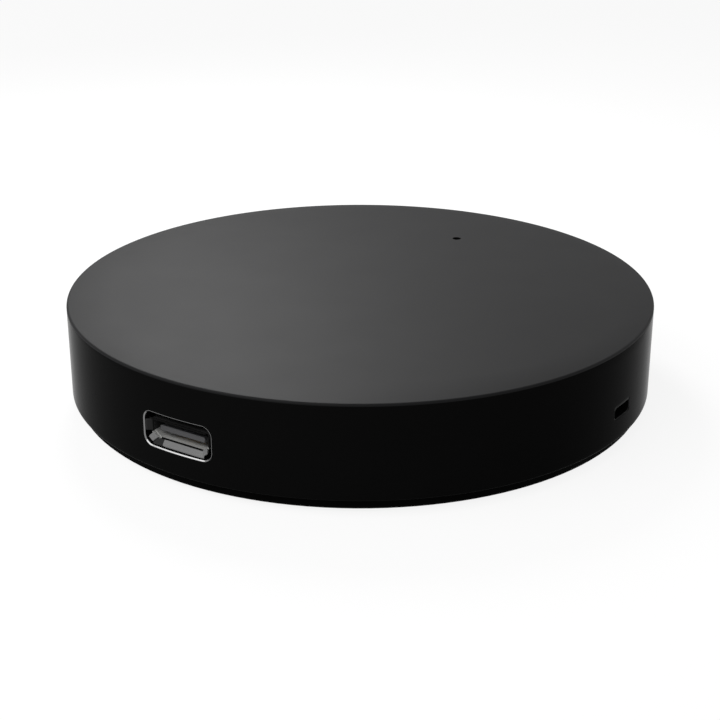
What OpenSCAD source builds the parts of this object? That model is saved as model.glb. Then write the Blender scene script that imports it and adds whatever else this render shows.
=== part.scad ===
// Round puck that sends infrared commands to other appliances: a dark cover that infrared light passes,
// and under it a board with a ring of emitters, a receiver, a radio, a power socket and a reset switch.
// Millimetres. The puck stands on z = 0 with its axis on Z, its socket towards -Y and its reset slot
// towards +X.

/* [Cover] */
// Radius of the cover
cover_r = 33; // [31:0.5:42]
// Height of the whole puck, from the table to its top face
puck_h = 12; // [11.5:0.5:18]
// Thickness of the cover's side wall
wall_t = 1.8; // [1.4:0.1:2.4]
// Thickness of the cover's top
top_t = 1.6; // [1.2:0.1:2]
// Bevel round the top face
top_bevel = 0.25; // [0.1:0.05:0.5]
// Bevel round the wall's lower edge
skirt_bevel = 0.15; // [0.05:0.05:0.3]
// Radius of the posts under the cover that take the base screws
post_r = 2.6; // [2.2:0.1:3]
// Distance from the cover's outside in to a post's axis
post_inset = 7; // [6.5:0.1:7.5]
// Number of posts and of base screws
post_count = 4; // [2, 4]
// Width of the rib inside the wall that keeps the base from turning
key_w = 2; // [1.5:0.1:3]

/* [Openings] */
// Gap between the socket's lips and either end of the opening
mouth_gap_w = 0.12; // [0.1:0.02:0.5]
// Gap between the socket's lips and the opening's underside
mouth_gap_h = 0.1; // [0.04:0.01:0.3]
// Radius of the opening's corners
opening_corner = 1.02; // [0.7:0.01:1.3]
// Width of the face of the bright bezel round the opening
bezel_face = 0.15; // [0.1:0.01:0.2]
// Depth of the bezel behind the wall's face
bezel_depth = 0.3; // [0.2:0.05:0.5]
// Height of the opening's centre above the centre of the socket's metal shell
opening_rise = 0.2; // [0.15:0.01:0.25]
// Width of the reset slot
slot_w = 3.4; // [2.8:0.1:4]
// Height of the reset slot
slot_h = 1.24; // [1.1:0.02:1.6]
// Radius of the reset slot's corners
slot_corner = 0.35; // [0.2:0.05:0.5]
// Radius of the pinhole over the status light
pinhole_r = 0.5; // [0.4:0.05:0.7]
// Distance from the cover's outside in to the pinhole
pinhole_inset = 11.3; // [10.9:0.1:11.7]

/* [Base and foot] */
// Distance from the cover's outside in to the base's edge
base_inset = 0.7; // [0.4:0.05:0.9]
// Thickness of the base plate
base_t = 1.8; // [1.6:0.1:2.4]
// Height of the base's visible edge
flange_h = 1.02; // [0.8:0.02:1.2]
// Height of the shadow line between cover and base
shadow_h = 0.2; // [0.1:0.05:0.3]
// Depth of the shadow line
shadow_d = 0.3; // [0.2:0.05:0.5]
// Bevel round the base's lower edge
base_bevel = 0.2; // [0.1:0.05:0.4]
// Gap between the cover's wall and the base's ring inside it
ring_gap = 0.15; // [0.05:0.05:0.2]
// Thickness of the base's ring
ring_t = 1.2; // [1:0.1:1.4]
// Height of the ring and of the screw bosses above the base plate
ring_h = 1; // [0.8:0.05:1.1]
// Distance from the base's edge in to the foot pad
foot_inset = 3.3; // [3:0.1:3.6]
// Thickness of the rubber foot pad
foot_t = 1.2; // [1:0.1:1.3]
// How far the foot pad stands out below the base
foot_proud = 0.5; // [0.4:0.05:0.7]
// Bevel round the foot pad's lower edge
foot_bevel = 0.15; // [0.05:0.05:0.3]

/* [Screws] */
// Radius of every screw's shank
screw_r = 1; // [0.8:0.05:1.1]
// Radius of every screw's head
head_r = 1.8; // [1.6:0.05:2]
// Height of every screw's head
head_h = 1; // [0.8:0.05:1.05]
// Length of a base screw under its head
base_screw_len = 5; // [4:0.5:6]
// Length of a board screw under its head
board_screw_len = 2.7; // [2.4:0.1:2.9]
// Width of the cross recess in a head
recess_w = 0.35; // [0.25:0.05:0.45]
// Number of board screws
board_screws_n = 3; // [2, 3]

/* [Board] */
// Thickness of the circuit board
board_t = 1; // [0.8:0.1:1.2]
// Gap between the base plate and the board
standoff_h = 1.4; // [1.3:0.05:1.8]
// Gap between the board's edge and the cover's wall
board_gap = 1; // [0.8:0.1:1.4]

/* [Power socket] */
// Width of the socket's metal shell
shell_w = 7.5; // [7.4:0.02:7.6]
// Height of the socket's metal shell
shell_h = 2.3; // [2.25:0.01:2.4]
// Width of the shell's narrower floor
shell_floor_w = 5.6; // [5:0.1:5.8]
// Height at which the shell reaches its full width
shell_side_h = 0.75; // [0.6:0.05:0.9]
// Thickness of the shell's sheet
shell_t = 0.2; // [0.15:0.01:0.25]
// Length of the shell behind its flared lips
shell_len = 4.6; // [4.4:0.1:5]
// Distance of the lips' tips behind the wall's face at the opening's ends
lip_setback = 0.02; // [0.01:0.01:0.3]
// Length of the flared lips
lip_len = 0.45; // [0.3:0.05:0.5]
// How far the lips' inner face flares outwards
lip_flare = 0.42; // [0.3:0.02:0.44]
// Thickness of the lips at their tips
lip_t = 0.15; // [0.1:0.01:0.16]
// Slit between two lips
lip_slit = 0.35; // [0.25:0.05:0.5]
// Width of the socket's tongue
tongue_w = 5.8; // [5.4:0.1:6]
// Thickness of the tongue
tongue_t = 0.63; // [0.55:0.01:0.7]
// Height of the tongue's underside above the shell's underside
tongue_rise = 0.92; // [0.85:0.01:1]
// Distance of the tongue's front behind the bend of the lips
tongue_setback = 0.35; // [0.3:0.05:0.6]
// Thickness of the socket's rear block
rear_block_t = 1.5; // [1.2:0.1:1.8]
// Pitch of the socket's contacts
contact_pitch = 0.65; // [0.6:0.01:0.7]
// Width of one contact
contact_w = 0.38; // [0.3:0.01:0.42]
// Thickness of one contact
contact_t = 0.15; // [0.1:0.01:0.2]

/* [Reset switch] */
// Width of the switch's housing
switch_w = 4.7; // [4.4:0.1:5]
// Depth of the housing
switch_d = 2; // [1.9:0.05:2.3]
// Height of the housing
switch_h = 1.6; // [1.55:0.05:1.8]
// How far the housing is sunk below the board's top
switch_sink = 0.58; // [0.5:0.02:0.7]
// Thickness of the housing's walls
switch_wall = 0.4; // [0.35:0.01:0.45]
// Width of the plunger's stem
stem_w = 1.4; // [1.2:0.05:1.6]
// Height of the plunger's stem
stem_h = 1; // [0.9:0.02:1.04]
// How far the stem stands out of the housing
stem_proud = 0.9; // [0.6:0.05:1.1]
// Gap between the stem's tip and the cover's wall
stem_gap = 0.6; // [0.4:0.05:1]
// Width of the plunger's foot inside the housing
plunger_foot_w = 2.2; // [2:0.05:2.4]
// Thickness of the plunger's foot
plunger_foot_t = 0.4; // [0.3:0.02:0.44]
// Radius of the dome spring
dome_r = 0.55; // [0.45:0.01:0.6]
// Height of the dome spring
dome_h = 0.36; // [0.3:0.01:0.38]
// Thickness of the dome spring's sheet
dome_t = 0.06; // [0.04:0.01:0.08]
// Thickness of the switch's metal frame and terminals
switch_sheet = 0.15; // [0.1:0.01:0.18]

/* [Status light] */
// Length of the status light
status_l = 1.6; // [1.4:0.1:2]
// Width of the status light
status_w = 0.8; // [0.7:0.05:1.25]
// Height of the status light
status_h = 0.6; // [0.4:0.05:0.8]
// Radius of the light pipe below the cover's top
pipe_r = 0.9; // [0.7:0.05:1]
// Radius of the light pipe's flange
pipe_flange_r = 1.5; // [1.3:0.05:1.8]
// Thickness of the light pipe's flange
pipe_flange_t = 0.8; // [0.6:0.1:1.2]
// How far the light pipe's end is below the top face
pipe_recess = 0.4; // [0.2:0.05:0.8]

/* [Emitters and receiver] */
// Number of infrared emitters
emitter_n = 8; // [4, 8]
// Radius of an emitter's lens
lens_r = 1.5; // [1.4:0.05:1.6]
// Length of an emitter from its flange's back to its tip
emitter_len = 5.3; // [4.8:0.1:5.4]
// Radius of an emitter's flange
flange_r = 1.65; // [1.6:0.05:2]
// Thickness of an emitter's flange
flange_t = 1; // [0.8:0.1:1.2]
// Gap between an emitter's tip and the cover's wall
emitter_gap = 0.6; // [0.4:0.1:1]
// Width of every round part's lead
lead_w = 0.5; // [0.4:0.05:0.55]
// Pitch of the leads of emitters and receiver
lead_pitch = 2.54; // [2.3:0.02:2.6]
// How far the leads run back before they turn down
lead_run = 1.6; // [1.2:0.1:1.8]
// How far the leads stand out below the board
lead_stub = 0.6; // [0.3:0.05:0.8]
// Width of the infrared receiver
receiver_w = 6.2; // [6:0.1:6.6]
// Length of the receiver
receiver_l = 6.8; // [6.4:0.1:7]
// Thickness of the receiver
receiver_t = 2.6; // [2.4:0.1:3.2]
// Radius of the receiver's domed lens
receiver_lens_r = 1.7; // [1.5:0.05:2]
// How far the receiver's lens rises from its body
receiver_lens_h = 0.85; // [0.5:0.05:1]

/* [Radio module] */
// Width of the radio's small board
radio_w = 15; // [14:0.5:17]
// Length of the radio's board
radio_l = 18; // [16:0.5:21]
// Thickness of the radio's board
radio_t = 0.8; // [0.6:0.1:1]
// Distance from the radio board's edges in to the shield can and the antenna
can_inset = 0.8; // [0.6:0.1:1]
// Length of the radio board's end that the antenna takes up
antenna_zone = 5.4; // [5:0.1:6]
// Gap between the chips under the shield can
chip_gap = 0.6; // [0.4:0.1:0.8]
// Gap between the radio's board and the emitters' resistors
radio_gap = 2.6; // [2:0.1:3.2]
// Height of the radio's shield can
can_h = 2.3; // [1.8:0.1:2.6]
// Thickness of the shield can's sheet
can_t = 0.2; // [0.15:0.01:0.3]
// Width of the antenna's track
track_w = 0.8; // [0.6:0.05:0.9]
// Thickness of the antenna's copper, plating included
track_t = 0.08; // [0.05:0.01:0.12]

/* [Small parts] */
// Radius of the smoothing capacitor's can
smoother_r = 2.5; // [2:0.1:3]
// Gap between the smoothing capacitor and the cover's top
smoother_gap = 1.2; // [0.6:0.1:1.8]
// Height of the smoothing capacitor's plastic base
smoother_base_h = 0.7; // [0.5:0.1:1]
// Gap between the parts of the supply
supply_gap = 1.1; // [0.8:0.1:1.5]
// Length, width and height of the voltage regulator's body
regulator_size = [6.5, 3.5, 1.6];
// Length, width and height of a driver transistor's body
driver_size = [2.9, 1.3, 0.9];
// Length, width and height of a chip resistor
resistor_size = [2, 1.25, 0.5];
// Length, width and height of a chip capacitor
chip_cap_size = [2, 1.25, 0.8];
// Length, width and height of the surge diode
diode_size = [1.7, 1.25, 0.9];
// Length, width and height of the radio's main chip
chip_size = [5, 5, 0.85];
// Length, width and height of the radio's memory chip
memory_size = [4, 3, 0.75];
// Length, width and height of the radio's crystal
crystal_size = [3.2, 2.5, 0.7];

/* [Hidden] */
$fn = 96;

// Overrun of every cut, and the depth by which joined shapes run into each other
over = 0.4;
// Clearance of pieces that are fitted by hand
fit = 0.02;
// Clearance of the plunger in its guide
slide_fit = 0.05;
// Clearance between a soldered part's underside and its board
lift = 0.05;

// Heights, from the table up
base_z = foot_proud;
recess_z = foot_t;
flange_z = base_z + flange_h;
skirt_z = flange_z + shadow_h;
base_top = base_z + base_t;
ring_z = base_top + ring_h;
board_z = base_top + standoff_h;
board_top = board_z + board_t;
ceiling_z = puck_h - top_t;

// Radii, from the outside in
inner_r = cover_r - wall_t;
base_r = cover_r - base_inset;
shadow_r = base_r - shadow_d;
ring_r = inner_r - ring_gap;
foot_r = base_r - foot_inset;
board_r = inner_r - board_gap;
post_pcr = cover_r - post_inset;
post_first = 45;
pinhole_y = cover_r - pinhole_inset;

// The base screws: heads in pockets above the foot pad, shanks up into the cover's posts
head_seat_z = recess_z + head_h + fit;
pilot_r = screw_r + fit;
clear_r = screw_r + slide_fit;
pocket_r = head_r + slide_fit;
boss_r = post_r + over;
// Board screws stand on a circle, as a share of the board's radius
board_screw_share = 0.563;
board_screw_pcr = board_screw_share * board_r;
board_screw_angles = [270, 40, 140];
standoff_r = head_r + over;
pilot_end_z = board_top - board_screw_len - fit;
recess_d = head_h / 2;

// The power socket, from the board's top up, and the wall's opening round its flared mouth
lip_reach = lip_flare - shell_t + lip_t;
opening_w = shell_w + 2 * (lip_reach + mouth_gap_w);
opening_h = shell_h + 2 * (lip_reach + opening_rise + mouth_gap_h);
bezel_w = opening_w + 2 * bezel_face;
bezel_h = opening_h + 2 * bezel_face;
bezel_corner = opening_corner + bezel_face;
socket_out = sqrt(pow(cover_r, 2) - pow(opening_w / 2, 2)) - lip_setback - lip_len;
socket_back = socket_out - shell_len;
socket_mid_z = board_top + shell_h / 2;
opening_z = socket_mid_z + opening_rise;
shell_slope = atan2(shell_side_h, (shell_w - shell_floor_w) / 2);
tongue_out = socket_out - tongue_setback;
block_back = socket_back + contact_t;
block_front = block_back + rear_block_t;
contact_n = 5;
contact_foot = 4 * contact_t;
foot_tab_w = 4 * shell_t;
foot_tab_l = 5 * shell_t;
// Corners of the shell's outline drawn in by d, anticlockwise, with its underside on y = 0
function shell_corners(d) =
    let (
        floor_x = shell_floor_w / 2 - d * tan(shell_slope / 2),
        side_x = shell_w / 2 - d,
        side_y = shell_side_h + d * tan((90 - shell_slope) / 2)
    )
    [[-floor_x, d], [floor_x, d], [side_x, side_y], [side_x, shell_h - d],
        [-side_x, shell_h - d], [-side_x, side_y]];

// The reset switch, from the cover's wall in
stem_tip = inner_r - stem_gap;
switch_front = stem_tip - stem_proud;
switch_back = switch_front - switch_d;
switch_z = board_top - switch_sink;
stem_mid_z = switch_z + switch_h / 2;
cavity_w = plunger_foot_w + 2 * slide_fit;
cavity_h = max(stem_h, 2 * dome_r) + 2 * slide_fit;
cavity_z = stem_mid_z - cavity_h / 2;
cavity_front = switch_front - switch_wall;
cavity_back = switch_back + switch_wall;
notch_w = switch_w + 2 * switch_sheet + 4 * slide_fit;
terminal_l = 6 * switch_sheet;
terminal_w = 3 * switch_sheet;
hook_w = 4 * switch_sheet;
hook_h = 5 * switch_sheet;
hook_back = switch_back + (switch_d - hook_w) / 2;
dome_ball_r = (pow(dome_r, 2) + pow(dome_h - dome_t, 2)) / (2 * (dome_h - dome_t));

// Emitters lie on the board, tips towards the wall
emitter_first = 22.5;
emitter_tip = inner_r - emitter_gap;
emitter_back = emitter_tip - emitter_len;
emitter_z = board_top + max(flange_r, lens_r) + lift;
lead_down = emitter_back - lead_run;
lead_hole_r = lead_w;
resistor_in = lead_down - resistor_size.x - lead_w;

// The receiver, a share of the board's radius to the left
receiver_share = -0.613;
receiver_x = receiver_share * board_r;
receiver_z = board_top + lift;
receiver_lead_z = board_top + receiver_t / 2;
receiver_lead_x = receiver_x + receiver_l / 2 + lead_run;

// Small parts on the board, at places that are shares of its radius
driver_shares = [[0.563, 0.066], [-0.49, -0.232]];
chip_cap_shares = [[0.381, 0.02], [-0.358, 0.199]];
diode_share = [0, -0.745];

// The radio, from the board's top up
radio_top = board_top + radio_t;
radio_y = resistor_in * cos(emitter_first) - radio_gap - radio_l / 2;
can_w = radio_w - 2 * can_inset;
can_l = radio_l - can_inset - antenna_zone;
can_y = radio_y - radio_l / 2 + can_inset + can_l / 2;
antenna_n = 4;
antenna_pitch = (radio_w - 2 * can_inset - track_w) / (2 * antenna_n);
antenna_reach = antenna_zone - 2 * can_inset;

// Leads of flat parts
tin_t = chip_cap_size.z / 5;
pin_w = 2 * tin_t;
pin_reach = 5 * tin_t;

// Parts of the supply, in a row behind the radio: smoothing capacitor, two chip capacitors, regulator
supply_y = radio_y - radio_l / 2 - supply_gap;
supply_mid_w = 2 * (chip_cap_size.x + supply_gap);
smoother_h = ceiling_z - board_top - smoother_gap;
smoother_base_w = 2 * smoother_r + over;
smoother_corner_share = 1.2;
smoother_cut_w = smoother_corner_share * smoother_base_w;
smoother_place = [-(supply_mid_w + smoother_base_w) / 2, supply_y - smoother_base_w / 2];
regulator_place = [(supply_mid_w + regulator_size.x) / 2, supply_y - pin_reach - regulator_size.y / 2];

// Turns its children so that their z points out of the front
module facing_front() { rotate([90, 0, 0]) children(); }

// Turns its children so that their z points out of the right-hand side
module facing_right() { rotate([90, 0, 90]) children(); }

// Sets its children on a circle round the puck's axis, facing outwards
module on_circle(r, angle) { rotate(angle) translate([r, 0, 0]) children(); }

// Block that stands on its place, centred across
module block(size) { translate([-size.x / 2, -size.y / 2, 0]) cube(size); }

// Bar of rounded cross-section, from one z to another
module rounded_bar(w, h, corner, z0, z1) {
    translate([0, 0, z0]) linear_extrude(z1 - z0) {
        square([w - 2 * corner, h], center = true);
        square([w, h - 2 * corner], center = true);
        for (sx = [-1, 1], sy = [-1, 1])
            translate([sx * (w / 2 - corner), sy * (h / 2 - corner)]) circle(corner);
    }
}

// Screw with a round head and a cross recess, its head's seat on z = 0 and its shank below
module screw(len) {
    difference() {
        union() {
            cylinder(h = head_h, r = head_r);
            translate([0, 0, -len]) cylinder(h = len + recess_d / 2, r = screw_r);
        }
        for (turn = [0, 90])
            rotate(turn) translate([-head_r / 2, -recess_w / 2, head_h - recess_d])
                cube([head_r, recess_w, recess_d + over]);
    }
}

// One-piece moulding: top, side wall, screw posts and key rib
module top_cover() {
    color("#1b1b1c") difference() {
        union() {
            rotate_extrude() polygon([
                [0, ceiling_z], [inner_r, ceiling_z], [inner_r, skirt_z],
                [cover_r - skirt_bevel, skirt_z], [cover_r, skirt_z + skirt_bevel],
                [cover_r, puck_h - top_bevel], [cover_r - top_bevel, puck_h], [0, puck_h]
            ]);
            for (i = [0 : post_count - 1])
                on_circle(post_pcr, post_first + i * 360 / post_count) translate([0, 0, ring_z])
                    cylinder(h = ceiling_z - ring_z + over, r = post_r);
            on_circle(ring_r - ring_t, 180) translate([0, -key_w / 2, base_top + lift])
                cube([ring_t + ring_gap + over, key_w, ring_h]);
        }
        for (i = [0 : post_count - 1])
            on_circle(post_pcr, post_first + i * 360 / post_count) translate([0, 0, ring_z - over])
                cylinder(h = base_screw_len + over, r = pilot_r);
        facing_front() translate([0, opening_z, 0])
            rounded_bar(opening_w, opening_h, opening_corner, inner_r - wall_t, cover_r + over);
        difference() {
            facing_front() translate([0, opening_z, 0])
                rounded_bar(bezel_w, bezel_h, bezel_corner, inner_r - wall_t, cover_r + over);
            translate([0, 0, skirt_z]) cylinder(h = puck_h, r = cover_r - bezel_depth);
        }
        facing_right() translate([0, stem_mid_z, 0])
            rounded_bar(slot_w, slot_h, slot_corner, inner_r - wall_t, cover_r + over);
        translate([0, pinhole_y, ceiling_z - over]) cylinder(h = top_t + 2 * over, r = pinhole_r);
    }
}

// Round base with the ring that centres it, the board's standoffs and the screws' bosses
module base_plate() {
    color("#0c0c0c") difference() {
        union() {
            difference() {
                rotate_extrude() polygon([
                    [0, recess_z], [foot_r + fit, recess_z], [foot_r + fit, base_z],
                    [base_r - base_bevel, base_z], [base_r, base_z + base_bevel], [base_r, flange_z],
                    [shadow_r, flange_z], [shadow_r, skirt_z], [ring_r, skirt_z], [ring_r, ring_z],
                    [ring_r - ring_t, ring_z], [ring_r - ring_t, base_top], [0, base_top]
                ]);
                on_circle(ring_r - ring_t - over, 180)
                    translate([0, -key_w / 2 - slide_fit, base_top])
                    cube([ring_t + 2 * over, key_w + 2 * slide_fit, ring_h + over]);
            }
            for (angle = [for (i = [0 : board_screws_n - 1]) board_screw_angles[i]])
                on_circle(board_screw_pcr, angle) translate([0, 0, base_top - over])
                    cylinder(h = standoff_h + over, r = standoff_r);
            for (i = [0 : post_count - 1])
                on_circle(post_pcr, post_first + i * 360 / post_count) translate([0, 0, base_top - over])
                    cylinder(h = ring_h + over, r = boss_r);
        }
        for (angle = [for (i = [0 : board_screws_n - 1]) board_screw_angles[i]])
            on_circle(board_screw_pcr, angle) translate([0, 0, pilot_end_z])
                cylinder(h = board_z - pilot_end_z + over, r = pilot_r);
        for (i = [0 : post_count - 1])
            on_circle(post_pcr, post_first + i * 360 / post_count) {
                translate([0, 0, recess_z - over])
                    cylinder(h = head_seat_z - recess_z + over, r = pocket_r);
                translate([0, 0, recess_z]) cylinder(h = ring_z - recess_z + over, r = clear_r);
            }
    }
}

// Soft pad stuck into the base's recess, which hides the base screws
module foot_pad() {
    color("#202020") rotate_extrude() polygon([
        [0, 0], [foot_r - foot_bevel, 0], [foot_r, foot_bevel], [foot_r, foot_t], [0, foot_t]
    ]);
}

// Thin bright ring let into the wall round the socket's opening
module socket_bezel() {
    color("#d8d8d8") intersection() {
        facing_front() translate([0, opening_z, 0]) difference() {
            rounded_bar(bezel_w - 2 * fit, bezel_h - 2 * fit, bezel_corner - fit, inner_r, cover_r + over);
            rounded_bar(opening_w, opening_h, opening_corner, inner_r - over, cover_r + 2 * over);
        }
        translate([0, 0, skirt_z]) difference() {
            cylinder(h = puck_h, r = cover_r);
            translate([0, 0, -over]) cylinder(h = puck_h + 2 * over, r = cover_r - bezel_depth + fit);
        }
    }
}

// Screws that hold the base to the cover
module base_screws() {
    color("#9a9a9e") for (i = [0 : post_count - 1])
        on_circle(post_pcr, post_first + i * 360 / post_count) translate([0, 0, head_seat_z])
            mirror([0, 0, 1]) screw(base_screw_len);
}

// Screws that hold the board to the base
module board_screws() {
    color("#9a9a9e") for (i = [0 : board_screws_n - 1])
        on_circle(board_screw_pcr, board_screw_angles[i]) translate([0, 0, board_top])
            screw(board_screw_len);
}

// Round board with holes for posts, screws and leads, and a notch for the reset switch
module circuit_board() {
    color("#1d4a2b") difference() {
        translate([0, 0, board_z]) cylinder(h = board_t, r = board_r);
        translate([0, 0, board_z - over]) {
            for (i = [0 : post_count - 1])
                on_circle(post_pcr, post_first + i * 360 / post_count)
                    cylinder(h = board_t + 2 * over, r = boss_r);
            for (i = [0 : board_screws_n - 1])
                on_circle(board_screw_pcr, board_screw_angles[i])
                    cylinder(h = board_t + 2 * over, r = clear_r);
            for (i = [0 : emitter_n - 1], side = [-1, 1])
                on_circle(lead_down, emitter_first + i * 360 / emitter_n)
                    translate([0, side * lead_pitch / 2, 0])
                    cylinder(h = board_t + 2 * over, r = lead_hole_r);
            for (k = [-1 : 1])
                translate([receiver_lead_x, k * lead_pitch, 0])
                    cylinder(h = board_t + 2 * over, r = lead_hole_r);
            translate([switch_back - 2 * slide_fit, -notch_w / 2, 0])
                cube([board_r, notch_w, board_t + 2 * over]);
        }
    }
}

// Flared lip on the edge of the shell's outline from corner a to corner b
module shell_lip(a, b) {
    lip_w = norm(b - a) - lip_slit;
    translate([(a.x + b.x) / 2, (a.y + b.y) / 2, socket_out]) rotate(atan2(a.y - b.y, a.x - b.x))
        rotate([0, -90, 0]) translate([0, 0, -lip_w / 2]) linear_extrude(lip_w) polygon([
            [-shell_t, -shell_t], [0, -shell_t], [lip_len, lip_flare - shell_t],
            [lip_len, lip_reach], [0, 0], [-shell_t, 0]
        ]);
}

// Folded sheet sleeve of the socket, with flared lips at its mouth and feet on the board
module socket_shell() {
    color("#b9babc") facing_front() translate([0, board_top, 0]) {
        difference() {
            union() {
                translate([0, 0, socket_back]) linear_extrude(shell_len) polygon(shell_corners(0));
                for (side = [-1, 1])
                    translate([0, 0, block_back]) linear_extrude(foot_tab_l) polygon([
                        [side * (shell_w / 2 - shell_t), shell_side_h + shell_t],
                        [side * shell_w / 2, shell_side_h + shell_t],
                        [side * shell_w / 2, shell_t], [side * (shell_w / 2 + foot_tab_w), shell_t],
                        [side * (shell_w / 2 + foot_tab_w), 0], [side * (shell_w / 2 - shell_t), 0]
                    ]);
            }
            translate([0, 0, socket_back - over])
                linear_extrude(shell_len + 2 * over) polygon(shell_corners(shell_t));
            for (side = [-1, 1])
                translate([side * shell_w / 5, shell_h - shell_t / 2, block_front + 2 * shell_t])
                    block([4 * shell_t, 3 * shell_t, 5 * shell_t]);
        }
        corners = shell_corners(0);
        for (i = [0 : len(corners) - 1])
            shell_lip(corners[i], corners[(i + 1) % len(corners)]);
    }
}

// Moulded block that closes the shell's back and carries the tongue
module socket_insulator() {
    color("#2a2a2c") facing_front() translate([0, board_top, 0]) difference() {
        union() {
            translate([0, 0, block_back]) linear_extrude(rear_block_t)
                polygon(shell_corners(shell_t + fit));
            translate([-tongue_w / 2, tongue_rise, block_back])
                cube([tongue_w, tongue_t, tongue_out - tongue_t / 2 - block_back]);
            translate([-tongue_w / 2, tongue_rise + tongue_t / 2, tongue_out - tongue_t / 2])
                rotate([0, 90, 0]) cylinder(h = tongue_w, d = tongue_t);
        }
        for (k = [0 : contact_n - 1])
            translate([(k - (contact_n - 1) / 2) * contact_pitch, tongue_rise - contact_t - fit,
                    block_back - over])
                translate([-contact_w / 2 - fit, 0, 0])
                cube([contact_w + 2 * fit, contact_t + fit, rear_block_t + over + contact_t]);
    }
}

// Contacts under the tongue, bent down to the board behind the shell
module socket_contacts() {
    contact_front = tongue_out - tongue_t;
    contact_back = block_back - 2 * contact_t;
    color("#cfae5a") facing_front() translate([0, board_top, 0]) for (k = [0 : contact_n - 1])
        translate([(k - (contact_n - 1) / 2) * contact_pitch - contact_w / 2, 0, 0])
            rotate([0, -90, 0]) mirror([0, 0, 1]) linear_extrude(contact_w) polygon([
                [contact_front, tongue_rise], [contact_front, tongue_rise - contact_t],
                [contact_back, tongue_rise - contact_t], [contact_back, 0],
                [contact_back - contact_foot, 0], [contact_back - contact_foot, contact_t],
                [contact_back - contact_t, contact_t], [contact_back - contact_t, tongue_rise]
            ]);
}

// Housing of the reset switch, half sunk in the board's notch, open on top
module reset_housing() {
    color("#19191a") facing_right() difference() {
        translate([-switch_w / 2, switch_z, switch_back]) cube([switch_w, switch_h, switch_d]);
        translate([-cavity_w / 2, cavity_z, cavity_back])
            cube([cavity_w, switch_h, cavity_front - cavity_back]);
        translate([-stem_w / 2 - slide_fit, stem_mid_z - stem_h / 2 - slide_fit, cavity_front - over])
            cube([stem_w + 2 * slide_fit, stem_h + 2 * slide_fit, switch_wall + 2 * over]);
    }
}

// Sheet frame over the reset switch, with a hook down each side
module reset_frame() {
    color("#b9babc") facing_right() {
        translate([-switch_w / 2, switch_z + switch_h, switch_back])
            cube([switch_w, switch_sheet, switch_d]);
        for (side = [0, 1])
            mirror([side, 0, 0]) translate([switch_w / 2, switch_z + switch_h, hook_back]) {
                translate([-switch_sheet, 0, 0]) cube([2 * switch_sheet, switch_sheet, hook_w]);
                translate([0, -hook_h, 0]) cube([switch_sheet, hook_h + switch_sheet, hook_w]);
            }
    }
}

// Terminals of the reset switch, flat on the board beside the notch
module reset_terminals() {
    color("#c9c9cc") facing_right() for (side = [0, 1], end = [switch_back, switch_front - terminal_w])
        mirror([side, 0, 0]) translate([switch_w / 2, board_top, end])
            cube([terminal_l, switch_sheet, terminal_w]);
}

// Snap dome that the plunger presses
module reset_dome() {
    color("#d0d0d2") facing_right() translate([0, stem_mid_z, cavity_back]) intersection() {
        cylinder(h = 2 * dome_r, r = dome_r);
        translate([0, 0, dome_h - dome_ball_r - dome_t]) difference() {
            sphere(dome_ball_r + dome_t);
            sphere(dome_ball_r);
        }
    }
}

// Sliding plunger: a foot kept inside the housing and a stem out of its front
module reset_plunger() {
    color("#101011") facing_right() {
        translate([-plunger_foot_w / 2, stem_mid_z - stem_h / 2, cavity_front - fit - plunger_foot_t])
            cube([plunger_foot_w, stem_h, plunger_foot_t]);
        translate([-stem_w / 2, stem_mid_z - stem_h / 2, cavity_front - fit - plunger_foot_t])
            cube([stem_w, stem_h, stem_tip - cavity_front + fit + plunger_foot_t]);
    }
}

// Small status light under the pinhole
module status_light() {
    color("#e8e4d0") translate([0, pinhole_y, board_top]) {
        block([status_l, status_w, status_h / 2]);
        block([status_l - status_h, status_w, status_h]);
    }
}

// Clear pipe from the status light up into the pinhole
module light_pipe() {
    pipe_z = board_top + status_h + lift;
    color("#dfe6ea") translate([0, pinhole_y, 0]) {
        translate([0, 0, pipe_z]) cylinder(h = ceiling_z - pipe_z, r = pipe_r);
        translate([0, 0, ceiling_z - pipe_flange_t]) cylinder(h = pipe_flange_t, r = pipe_flange_r);
        translate([0, 0, ceiling_z - over])
            cylinder(h = top_t - pipe_recess + over, r = pinhole_r - slide_fit);
    }
}

// Infrared emitters that lie on the board with their lenses towards the wall
module ir_emitters() {
    color("#2b2233") for (i = [0 : emitter_n - 1])
        rotate(emitter_first + i * 360 / emitter_n) translate([emitter_back, 0, emitter_z])
            rotate([0, 90, 0]) {
                cylinder(h = flange_t, r = flange_r);
                cylinder(h = emitter_len - lens_r, r = lens_r);
                translate([0, 0, emitter_len - lens_r]) sphere(lens_r);
            }
}

// Leads that run back from x = 0 at height z and turn down through the board
module bent_lead(z) {
    translate([-lead_run - lead_w / 2, -lead_w / 2, z - lead_w / 2])
        cube([lead_run + lead_w / 2, lead_w, lead_w]);
    translate([-lead_run - lead_w / 2, -lead_w / 2, board_z - lead_stub])
        cube([lead_w, lead_w, z + lead_w / 2 - board_z + lead_stub]);
}

// Leads of the emitters
module emitter_leads() {
    color("#c9c9cc") for (i = [0 : emitter_n - 1], side = [-1, 1])
        on_circle(emitter_back, emitter_first + i * 360 / emitter_n)
            translate([0, side * lead_pitch / 2, 0]) bent_lead(emitter_z);
}

// Receiver on its back, with its domed lens up
module ir_receiver() {
    color("#221d26") translate([receiver_x, 0, receiver_z]) {
        block([receiver_l, receiver_w, receiver_t]);
        intersection() {
            translate([0, 0, receiver_t + receiver_lens_h - receiver_lens_r]) sphere(receiver_lens_r);
            block([receiver_l, receiver_w, receiver_t + receiver_lens_h]);
        }
    }
}

// Leads of the receiver
module receiver_leads() {
    color("#c9c9cc") for (k = [-1 : 1])
        translate([receiver_x + receiver_l / 2, k * lead_pitch, 0])
            mirror([1, 0, 0]) bent_lead(receiver_lead_z);
}

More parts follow.
